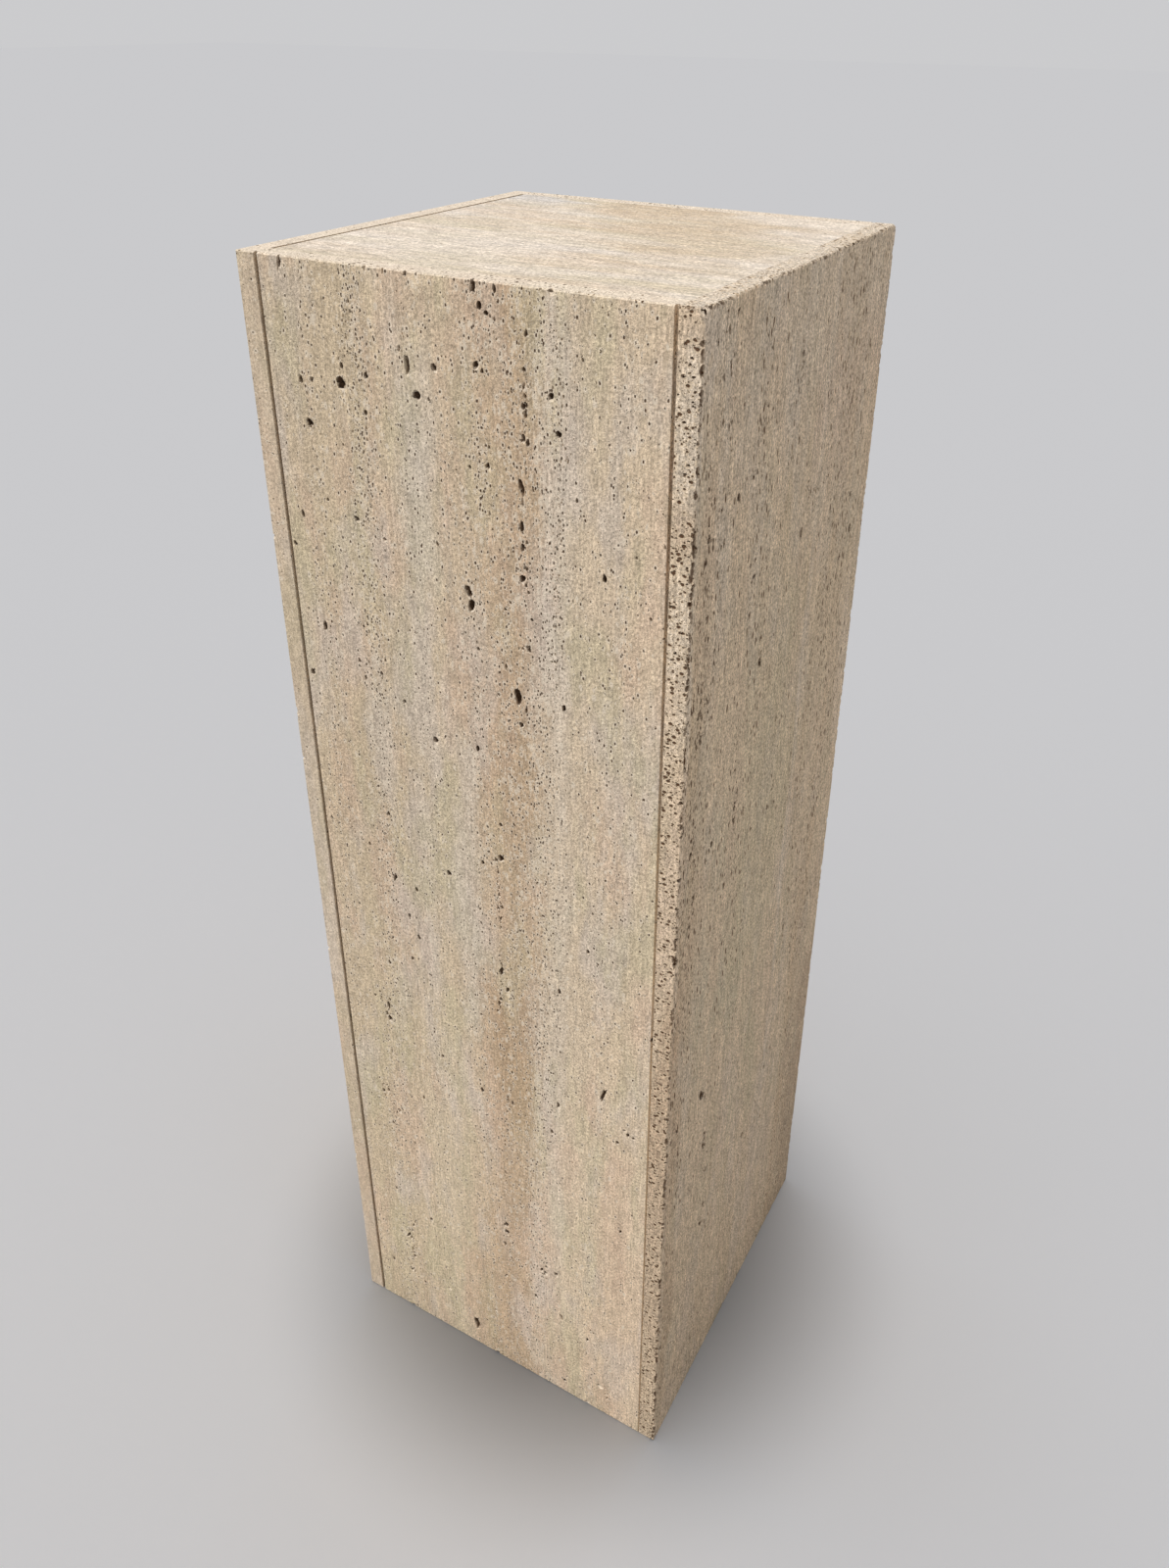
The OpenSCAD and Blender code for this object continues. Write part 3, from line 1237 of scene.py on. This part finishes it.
class Column:
    """The whole column: four wall slabs round an inset top slab."""

    def __init__(self, low: Vector, high: Vector) -> None:
        """Plans the slabs of a column that stands between two corners.

        Args:
            low: its lowest corner.
            high: its highest corner.
        """
        self.low, self.high = low, high
        self.slabs = [self._front(), self._right(), self._left(), self._back(), self._top()]

    def _front(self) -> Slab:
        """Plans the front slab, with its beds as laid and the hollows along them.

        Returns:
            The slab.
        """
        beds = ((0.02, (0.780, 0.704, 0.597)), (0.22, (0.770, 0.695, 0.583)), (0.36, (0.796, 0.724, 0.620)),
                (0.48, (0.782, 0.696, 0.588)), (0.56, (0.752, 0.656, 0.545)), (0.62, (0.760, 0.668, 0.558)),
                (0.66, (0.805, 0.732, 0.636)), (0.73, (0.810, 0.734, 0.632)), (0.84, (0.812, 0.730, 0.622)),
                (0.96, (0.828, 0.748, 0.644)))
        porous = ((0.0, 0.10), (0.05, 0.10), (0.08, 0.45), (0.11, 0.12), (0.16, 0.20), (0.195, 0.90),
                  (0.235, 0.25), (0.30, 0.14), (0.34, 0.40), (0.38, 0.12), (0.45, 0.15), (0.49, 0.65),
                  (0.53, 0.20), (0.58, 0.80), (0.61, 0.35), (0.65, 1.00), (0.69, 0.20), (0.76, 0.10),
                  (0.80, 0.35), (0.84, 0.10), (1.0, 0.10))
        rust, chalk, blush = (0.705, 0.600, 0.482), (0.805, 0.757, 0.700), (0.780, 0.672, 0.570)
        stains = tuple(
            Stain(tone, share, (x, self.low.y, z), (wide, 0.1, high)) for tone, share, x, z, wide, high in (
                (rust, 0.40, 0.042, 0.960, 0.022, 0.09), (rust, 0.30, 0.048, 0.760, 0.022, 0.16),
                (rust, 0.30, 0.030, 0.640, 0.024, 0.12), (rust, 0.85, 0.020, 0.430, 0.024, 0.11),
                (rust, 0.25, 0.030, 0.280, 0.024, 0.12), (rust, 0.55, 0.006, 0.110, 0.044, 0.14),
                (chalk, 0.42, 0.069, 0.760, 0.011, 0.30), (chalk, 0.30, 0.062, 0.330, 0.010, 0.22),
                (chalk, 0.50, -0.012, 0.560, 0.018, 0.17), (chalk, 0.45, -0.030, 0.880, 0.022, 0.09),
                (blush, 0.50, -0.120, 0.610, 0.024, 0.06), (blush, 0.40, 0.120, 0.130, 0.040, 0.20)))
        return Slab(
            "front_slab", (0.0, -1.0, 0.0), Bed.UPRIGHT,
            # foot=1.06 paints light towards the foot of the front
            Travertine("travertine_front", (0.0, 0.0, 0.0), beds, porous, laid=True, foot=1.06, stains=stains,
                       pink=(0.802, 0.694, 0.600), lilac=(0.782, 0.730, 0.680), olive=(0.742, 0.696, 0.572),
                       patches=0.52, hairs=0.14, grain=0.40, dirt=(0.310, 0.220, 0.150)),
            PoreField(seed=11, share=0.36, chips=0.7),
            seams=rows(
                Seam,
                (((213, 20), (209, 80), (207, 130), (208, 180), (206, 230)), 3.0, 0.8, 3.2),
                (((232, 10), (236, 90), (229, 180), (226, 270), (225, 390)), 4.0, 0.55, 1.8),
                (((178, 50), (184, 110), (181, 150)), 3.0, 0.4, 2.6),
                (((84, 20), (88, 120), (82, 200), (74, 300)), 14.0, 0.7, 2.0),
                (((176, 395), (178, 460), (176, 510), (172, 550)), 2.5, 0.8, 2.8),
                (((178, 640), (172, 700), (170, 780), (169, 830)), 2.5, 0.8, 2.8),
                (((52, 586), (60, 596), (56, 612)), 8.0, 1.0, 2.8),
                (((46, 698), (58, 722), (62, 734), (50, 752)), 8.0, 1.0, 3.0),
                (((40, 400), (44, 425)), 6.0, 0.8, 2.4),
                (((64, 860), (58, 930), (57, 990)), 5.0, 0.7, 2.8),
                (((270, 880), (273, 940), (272, 985)), 4.0, 0.7, 2.2),
                (((205, 830), (208, 845)), 5.0, 1.0, 3.0),
                (((205, 940), (210, 990)), 2.0, 0.5, 2.2),
            ),
            hollows=rows(
                Hollow, (35, 4, 2.5, 9), (101, 2, 1.4, 7), (114, 1, 1.3, 5), (130, 1, 2, 3),
                (177, 3.5, 3.4, 6), (228, 1, 3, 2.5), (42, 75, 2.5, 5), (51, 73, 2.3, 4),
                (74.5, 72.5, 5.5, 7), (45.5, 101.5, 4.5, 5, 15), (127, 53, 3.0, 9, -4), (122, 45, 1.6, 4),
                (132.5, 71.5, 4.2, 5, -30), (146.5, 53.5, 3.3, 4, -30), (177, 47, 3.2, 5, 45),
                (227, 59, 2.8, 4, 20), (232, 80, 3.8, 4),
                (182, 107, 2.5, 3), (206, 117, 2.8, 11, -6), (206.5, 126, 1.7, 6), (205.5, 141, 2.4, 7),
                (205.5, 155, 2.3, 5), (205.5, 176, 3.2, 4, 10), (77, 162, 3.5, 3), (99, 172, 2.5, 2.5),
                (164, 195, 3.8, 7), (165, 203, 4.4, 7), (208, 223, 2.2, 5), (39, 249, 2.5, 6),
                (199, 260, 4, 11, -8), (201, 282, 2.5, 3), (22, 291, 3, 4), (104, 292, 2.5, 3),
                (129, 316, 3.2, 5, -30), (180, 399, 3.6, 5, 25), (183, 107, 2.0, 4), (133, 431, 3, 4),
                (81, 455, 2.5, 7, 10), (176, 508, 2.5, 7, 8), (181, 524, 2.5, 5, 20), (265, 591, 2.4, 16, 15),
                (61, 596, 2.6, 5), (61, 611, 3, 6), (225, 625, 2.2, 8), (182, 647, 2.0, 7, -8),
                (45, 705, 2.5, 6), (61, 722, 3, 4), (170, 802, 3.5, 5), (170, 812, 4, 6), (220, 836, 2.5, 5),
                (209, 841, 3, 4), (167, 873, 2, 3), (57, 890, 2.5, 9, 25), (225, 892, 2, 8, -20),
                (61, 919, 2.5, 4), (56, 942, 3, 4), (131, 971, 4.5, 14, -8), (100, 940, 2.5, 3),
                (153, 934, 2, 3), (53, 999, 3, 3), (92, 997, 3, 3), (153, 999, 3, 3), (251, 998, 4, 3),
                (264, 962, 4.5, 3),
            ),
        )

    def _right(self) -> Slab:
        """Plans the right slab, whose front edge is the most open and worn.

        Returns:
            The slab.
        """
        blush, rust, moss, chalk = ((0.810, 0.705, 0.610), (0.715, 0.600, 0.490), (0.745, 0.697, 0.575),
                                    (0.815, 0.760, 0.690))
        front, strip = self.low.y, 0.152
        stains = rows(
            Stain,
            (chalk, 0.40, (0.160, 0.020, 1.000), (0.100, 0.250, 0.20)),
            ((0.890, 0.810, 0.705), 0.80, (strip, front, 0.500), (0.100, 0.006, 0.80)),
            *((tone, share, (strip, front, z), (0.020, 0.006, high)) for tone, share, z, high in (
                (rust, 0.40, 0.985, 0.03), (chalk, 0.50, 0.925, 0.05), (rust, 0.45, 0.882, 0.02),
                (chalk, 0.40, 0.800, 0.08), (blush, 0.50, 0.620, 0.14), (rust, 0.45, 0.400, 0.14))),
            (moss, 0.45, (0.160, -0.020, 0.570), (0.100, 0.090, 0.30)),
            (blush, 0.50, (0.160, 0.090, 0.900), (0.100, 0.080, 0.07)),
            (rust, 0.50, (0.160, -0.155, 0.250), (0.100, 0.022, 0.35)),
            # Painted shade: the far lower part of the right face is darkened, where its light falls off
            ((0.640, 0.540, 0.440), 0.55, (0.160, 0.160, 0.060), (0.100, 0.080, 0.40)),
            (chalk, 0.35, (0.160, 0.045, 0.550), (0.100, 0.006, 0.50)),
        )
        beds = ((0.30, (0.812, 0.718, 0.596)), (0.42, (0.833, 0.740, 0.622)), (0.50, (0.848, 0.756, 0.640)),
                (0.58, (0.822, 0.733, 0.616)), (0.70, (0.796, 0.690, 0.568)))
        return Slab(
            "right_slab", (1.0, 0.0, 0.0), Bed.UPRIGHT,
            Travertine("travertine_right", (0.7, 1.3, 0.4), beds, hairs=0.24, squeeze=(1.1, 1.1, 0.32),
                       # foot=0.86 paints shade towards the foot of the right face
                       foot=0.86, edge_cover=1.6, edge_relief=1.5, lip=0.15, soiled_from_mm=-0.4,
                       stains=stains, patches=0.25, mottle=0.16, grain=0.55,
                       # On this slab the dark of soil and painted shade is browner and starts above the face,
                       # darkening its chips and pores more
                       edge=(0.865, 0.775, 0.655), dirt=(0.345, 0.235, 0.150)),
            PoreField(seed=23, share=0.40, widest_mm=2.6, longest=3.5, edge_share=0.48, edge_widest_mm=1.9,
                      chips=0.9, chip_mm=4.0),
            seams=rows(
                Seam,
                (((0.4, 6), (0.6, 60), (0.2, 130), (0.5, 210)), 1.6, 0.45, 2.8),
                (((0.4, 210), (0.6, 420), (0.2, 640)), 1.6, 0.10, 2.4),
                (((30, 8), (36, 90), (34, 180), (26, 260)), 18.0, 1.0, 3.0),
                (((14, 60), (22, 180), (18, 300), (24, 420)), 7.0, 0.7, 3.4),
                (((88, 8), (96, 60), (86, 120), (92, 240)), 12.0, 0.7, 2.6),
                (((82, 300), (88, 350), (92, 430)), 5.0, 0.7, 3.0),
                (((66, 620), (74, 700), (84, 800)), 5.0, 0.7, 3.0),
                (((150, 20), (152, 80), (160, 130)), 12.0, 0.6, 2.8),
                (((178, 150), (182, 160), (225, 160)), 5.0, 0.8, 2.6),
                (((110, 230), (118, 260)), 4.0, 0.8, 2.8),
                (((160, 320), (162, 380), (168, 420)), 5.0, 0.6, 2.8),
            ),
            hollows=rows(
                Hollow, (1.5, 0.5, 3.5, 3), (6, 0, 4, 2), (11, 0, 3, 2), (60, 121, 3.5, 4.5),
                (176, 184, 3, 9, 10), (222, 569, 3, 6), (60, 620, 5, 10, -20), (78, 423, 3, 5),
                (155, 401, 3, 4), (72, 675, 3, 5), (163, 770, 4.5, 7, -15), (288, 220, 2.5, 6),
                (115, 257, 3, 4), (50, 368, 3, 4), (246, 301, 3, 2.5), (17, 617, 3, 6, -15),
                (75, 790, 3, 5, -20), (280, 190, 2.5, 5),
            ),
        )

    def _left(self) -> Slab:
        """Plans the left slab, with a few nicks in its front arris.

        Returns:
            The slab.
        """
        return Slab(
            "left_slab", (-1.0, 0.0, 0.0), Bed.UPRIGHT,
            Travertine("travertine_left", (2.1, 0.6, 1.9), edge_cover=0.4, grain=0.32),
            PoreField(seed=37, chips=0.55, edge_share=0.10, edge_widest_mm=1.6, longest=3.0),
            seams=rows(
                Seam,
                (((90, 15), (96, 300), (88, 600), (94, 985)), 6.0, 0.35, 2.4),
                (((214, 200), (206, 500), (212, 800)), 3.0, 0.5, 2.8),
            ),
            hollows=rows(
                Hollow, (120, 210, 4, 9), (206, 540, 5, 8, 10), (70, 760, 4, 7, -10), (320, 190, 3, 4),
                (320, 330, 3, 6), (319.5, 372, 2.5, 3), (320, 560, 3, 4), (320, 815, 3, 5),
            ),
        )

    def _back(self) -> Slab:
        """Plans the back slab.

        Returns:
            The slab.
        """
        return Slab(
            "back_slab", (0.0, 1.0, 0.0), Bed.UPRIGHT,
            Travertine("travertine_back", (3.3, 2.2, 0.8)),
            PoreField(seed=53),
            seams=rows(
                Seam,
                (((118, 20), (112, 260), (122, 520), (116, 760)), 4.0, 0.5, 2.8),
                (((240, 100), (232, 420), (238, 900)), 8.0, 0.3, 2.0),
            ),
            hollows=rows(Hollow, (112, 170, 5, 10, 8), (180, 420, 4, 7), (232, 700, 3, 9, -12)),
        )

    def _top(self) -> Slab:
        """Plans the top slab, the smoothest of the five.

        Returns:
            The slab.
        """
        honey, chalk, ash = (0.718, 0.640, 0.540), (0.805, 0.755, 0.695), (0.725, 0.700, 0.675)
        stains = tuple(
            Stain(tone, share, (x, y, self.high.z), (wide, long, 0.1)) for tone, share, x, y, wide, long in (
                (honey, 0.90, -0.015, 0.125, 0.070, 0.040), (honey, 0.80, 0.045, 0.060, 0.080, 0.060),
                (honey, 0.45, 0.085, -0.030, 0.050, 0.070), (chalk, 0.70, -0.040, -0.070, 0.140, 0.080),
                (chalk, 0.80, 0.125, 0.140, 0.090, 0.050), (chalk, 0.50, 0.150, -0.020, 0.030, 0.200),
                (ash, 0.85, -0.150, 0.140, 0.080, 0.060)))
        beds = ((0.30, (0.712, 0.650, 0.562)), (0.42, (0.748, 0.690, 0.612)), (0.52, (0.780, 0.732, 0.672)),
                (0.62, (0.745, 0.680, 0.600)), (0.70, (0.700, 0.622, 0.530)))
        porous = ((0.0, 0.02), (0.5, 0.04), (0.6, 0.12), (1.0, 0.1))
        return Slab(
            "top_slab", (0.0, 0.0, 1.0), Bed.LEVEL,
            Travertine("travertine_top", (1.2, 0.3, 2.6), beds, porous, level=True, roughness=0.5, relief=0.4,
                       bleach=0.0, pink=(0.770, 0.685, 0.590), lilac=(0.782, 0.742, 0.700),
                       olive=(0.728, 0.680, 0.580), grain=0.42, hairs=0.26, patches=0.45, streaks=0.05,
                       stains=stains),
            PoreField(seed=71, share=0.05, widest_mm=1.6, chips=0.15, chip_mm=1.4),
        )

    def build(self) -> None:
        """Carves, dresses and places every slab."""
        carving, groups = CarvingTree(), StoneGroups()
        for slab in self.slabs:
            piece = slab.build(carving, groups, self.low, self.high)
            triangles = sum(len(face.vertices) - 2 for face in piece.data.polygons)
            log.info("%s: %d triangles", piece.name, triangles)


# --------------------------------------------------------------------------
# The studio
# --------------------------------------------------------------------------


@dataclass
class Studio:
    """The floor, the light and the camera.

    world is the even light from all round, sun the one from the upper left.
    """

    world: Triple = (0.60, 0.60, 0.612)
    sun_from: Triple = (-0.43, -0.385, 0.82)
    sun_strength: float = 3.3
    sun_soft_deg: float = 6.0
    camera_at: Triple = (0.4207, -0.7337, 1.135)
    heading_deg: float = 28.64
    pitch_deg: float = 28.65
    roll_deg: float = 0.61
    lens: float = 27.94
    shift: tuple[float, float] = (-0.0165, -0.0734)
    floor_half: float = 30.0

    def build(self) -> None:
        """Sets the whole studio."""
        self._camera()
        self._world()
        self._sun(self._floor())

    def _camera(self) -> None:
        """Sets the camera."""
        data = bpy.data.cameras.new("camera")
        data.lens, data.shift_x, data.shift_y = self.lens, *self.shift
        camera = linked("camera", data)
        turn = (Matrix.Rotation(math.radians(self.heading_deg), 4, "Z")
                @ Matrix.Rotation(math.radians(90 - self.pitch_deg), 4, "X")
                @ Matrix.Rotation(math.radians(self.roll_deg), 4, "Z"))
        camera.matrix_world = Matrix.Translation(self.camera_at) @ turn
        bpy.context.scene.camera = camera

    def _world(self) -> None:
        """Sets the even light from all round."""
        world = bpy.data.worlds.new("studio")
        world.use_nodes = True
        bpy.context.scene.world = world
        world.node_tree.nodes["Background"].inputs["Color"].default_value = (*self.world, 1.0)

    def _floor(self) -> Object:
        """Lays the floor.

        Returns:
            The floor.
        """
        shape = bmesh.new()
        bmesh.ops.create_grid(shape, x_segments=1, y_segments=1, size=self.floor_half)
        floor = meshed("floor", shape)
        floor.data.materials.append(FloorFinish().material())
        floor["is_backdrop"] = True
        return floor

    def _sun(self, floor: Object) -> None:
        """Hangs the lamp, which lights the column and leaves the floor to the even light.

        Args:
            floor: the floor.
        """
        data = bpy.data.lights.new("sun", "SUN")
        data.energy = self.sun_strength
        data.angle = math.radians(self.sun_soft_deg)
        lamp = linked("sun", data)
        lamp.rotation_euler = Vector(self.sun_from).to_track_quat("Z", "Y").to_euler()
        unlit = bpy.data.collections.new("unlit_by_sun")
        unlit.objects.link(floor)
        unlit.collection_objects[0].light_linking.link_state = "EXCLUDE"
        lamp.light_linking.receiver_collection = unlit


def main() -> None:
    """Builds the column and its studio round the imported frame."""
    logging.basicConfig(level=logging.INFO, format="%(name)s: %(message)s")
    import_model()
    low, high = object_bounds()
    bpy.context.scene.view_settings.view_transform = "Standard"
    Column(low, high).build()
    Studio().build()


if __name__ == "__main__":
    main()
